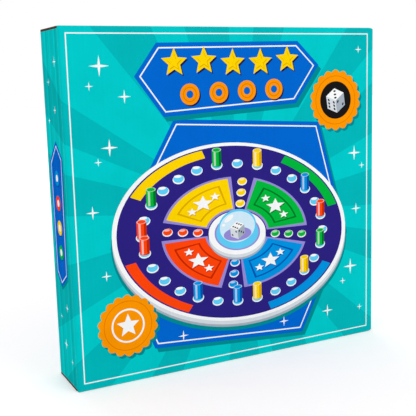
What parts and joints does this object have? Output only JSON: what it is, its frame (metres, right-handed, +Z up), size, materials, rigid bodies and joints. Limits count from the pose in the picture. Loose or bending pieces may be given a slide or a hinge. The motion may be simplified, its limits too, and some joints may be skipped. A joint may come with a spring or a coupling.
{
  "type": "popping dice board game",
  "caption": "Square shallow corrugated carton with a side-hinged front lid, holding a peg race game with a press dome for its die.",
  "frame": {"origin": "middle of the carton's bottom, where it stands upright on its narrow bottom wall", "axes": "+Z up; the printed front (the lid) faces -Y; +X to the right seen from the front"},
  "size_m": [0.27, 0.0468, 0.264],
  "materials": {
    "printed_board": "teal litho print on fine corrugated board, satin varnish",
    "kraft_board": "brown kraft liner and flute edges",
    "leaflet_paper": "uncoated white paper",
    "white_plastic": "moulded gloss",
    "foot_rubber": "matt",
    "printed_card": "indigo print with coloured zones, satin",
    "clear_plastic": "clear moulded gloss",
    "die_plastic": "white, black pips",
    "spring_steel": "bright spring steel",
    "screw_steel": "zinc plated",
    "green_plastic": "moulded gloss",
    "yellow_plastic": "moulded gloss",
    "red_plastic": "moulded gloss",
    "blue_plastic": "moulded gloss"
  },
  "bodies": {
    "carton": {"back_panel": "printed_board", "hinge_wall": "printed_board", "right_wall": "printed_board", "top_wall": "printed_board", "bottom_wall": "printed_board", "corner_flaps": "kraft_board", "rules_leaflet": "leaflet_paper", "base_tray": "white_plastic", "feet": "foot_rubber", "board_card": "printed_card", "clear_top": "clear_plastic", "track_cups": "clear_plastic", "finish_cups": "clear_plastic", "home_cups": "clear_plastic", "pod_housing": "white_plastic", "dome_ring": "white_plastic", "return_spring": "spring_steel", "screws": "screw_steel"},
    "lid": {"lid_panel": "printed_board"},
    "closing_flap": {"closing_flap": "printed_board"},
    "dome": {"dome": "clear_plastic"},
    "popping_plate": {"popping_plate": "spring_steel"},
    "die": {"die": "die_plastic"},
    "green_peg_1": {"green_peg_1": "green_plastic"},
    "green_peg_2": {"green_peg_2": "green_plastic"},
    "green_peg_3": {"green_peg_3": "green_plastic"},
    "green_peg_4": {"green_peg_4": "green_plastic"},
    "yellow_peg_1": {"yellow_peg_1": "yellow_plastic"},
    "yellow_peg_2": {"yellow_peg_2": "yellow_plastic"},
    "yellow_peg_3": {"yellow_peg_3": "yellow_plastic"},
    "yellow_peg_4": {"yellow_peg_4": "yellow_plastic"},
    "red_peg_1": {"red_peg_1": "red_plastic"},
    "red_peg_2": {"red_peg_2": "red_plastic"},
    "red_peg_3": {"red_peg_3": "red_plastic"},
    "red_peg_4": {"red_peg_4": "red_plastic"},
    "blue_peg_1": {"blue_peg_1": "blue_plastic"},
    "blue_peg_2": {"blue_peg_2": "blue_plastic"},
    "blue_peg_3": {"blue_peg_3": "blue_plastic"},
    "blue_peg_4": {"blue_peg_4": "blue_plastic"}
  },
  "joints": [
    {"name": "lid_fold", "type": "hinge", "parent": "carton", "child": "lid", "pos_m": [-0.135, -0.0219, 0.132], "axis": [0, 0, -1], "range_deg": [0, 180]},
    {"name": "closing_flap_fold", "type": "hinge", "parent": "lid", "child": "closing_flap", "pos_m": [0.135, -0.0219, 0.132], "axis": [0, 0, -1], "range_deg": [0, 90]},
    {"name": "dome_press", "type": "slide", "parent": "carton", "child": "dome", "axis": [0, 1, 0], "range_m": [0, 0.0025], "stiffness_N_per_m": 300, "springref_m": -0.0005, "deforming": ["return_spring"]},
    {"name": "plate_pop", "type": "slide", "parent": "carton", "child": "popping_plate", "axis": [0, 1, 0], "range_m": [0, 0.00225]},
    {"name": "die_hop", "type": "slide", "parent": "popping_plate", "child": "die", "axis": [0, -1, 0], "range_m": [0, 0.0055]},
    {"name": "green_peg_1_lift", "type": "slide", "parent": "carton", "child": "green_peg_1", "axis": [0, -1, 0], "range_m": [0, 0.0071]},
    {"name": "green_peg_2_lift", "type": "slide", "parent": "carton", "child": "green_peg_2", "axis": [0, -1, 0], "range_m": [0, 0.0071]},
    {"name": "green_peg_3_lift", "type": "slide", "parent": "carton", "child": "green_peg_3", "axis": [0, -1, 0], "range_m": [0, 0.0071]},
    {"name": "green_peg_4_lift", "type": "slide", "parent": "carton", "child": "green_peg_4", "axis": [0, -1, 0], "range_m": [0, 0.0071]},
    {"name": "yellow_peg_1_lift", "type": "slide", "parent": "carton", "child": "yellow_peg_1", "axis": [0, -1, 0], "range_m": [0, 0.0071]},
    {"name": "yellow_peg_2_lift", "type": "slide", "parent": "carton", "child": "yellow_peg_2", "axis": [0, -1, 0], "range_m": [0, 0.0071]},
    {"name": "yellow_peg_3_lift", "type": "slide", "parent": "carton", "child": "yellow_peg_3", "axis": [0, -1, 0], "range_m": [0, 0.0071]},
    {"name": "yellow_peg_4_lift", "type": "slide", "parent": "carton", "child": "yellow_peg_4", "axis": [0, -1, 0], "range_m": [0, 0.0071]},
    {"name": "red_peg_1_lift", "type": "slide", "parent": "carton", "child": "red_peg_1", "axis": [0, -1, 0], "range_m": [0, 0.0071]},
    {"name": "red_peg_2_lift", "type": "slide", "parent": "carton", "child": "red_peg_2", "axis": [0, -1, 0], "range_m": [0, 0.0071]},
    {"name": "red_peg_3_lift", "type": "slide", "parent": "carton", "child": "red_peg_3", "axis": [0, -1, 0], "range_m": [0, 0.0071]},
    {"name": "red_peg_4_lift", "type": "slide", "parent": "carton", "child": "red_peg_4", "axis": [0, -1, 0], "range_m": [0, 0.0071]},
    {"name": "blue_peg_1_lift", "type": "slide", "parent": "carton", "child": "blue_peg_1", "axis": [0, -1, 0], "range_m": [0, 0.0071]},
    {"name": "blue_peg_2_lift", "type": "slide", "parent": "carton", "child": "blue_peg_2", "axis": [0, -1, 0], "range_m": [0, 0.0071]},
    {"name": "blue_peg_3_lift", "type": "slide", "parent": "carton", "child": "blue_peg_3", "axis": [0, -1, 0], "range_m": [0, 0.0071]},
    {"name": "blue_peg_4_lift", "type": "slide", "parent": "carton", "child": "blue_peg_4", "axis": [0, -1, 0], "range_m": [0, 0.0071]}
  ],
  "couplings": [
    {"joint": "plate_pop", "follows": "dome_press", "ratio": 0.9}
  ]
}
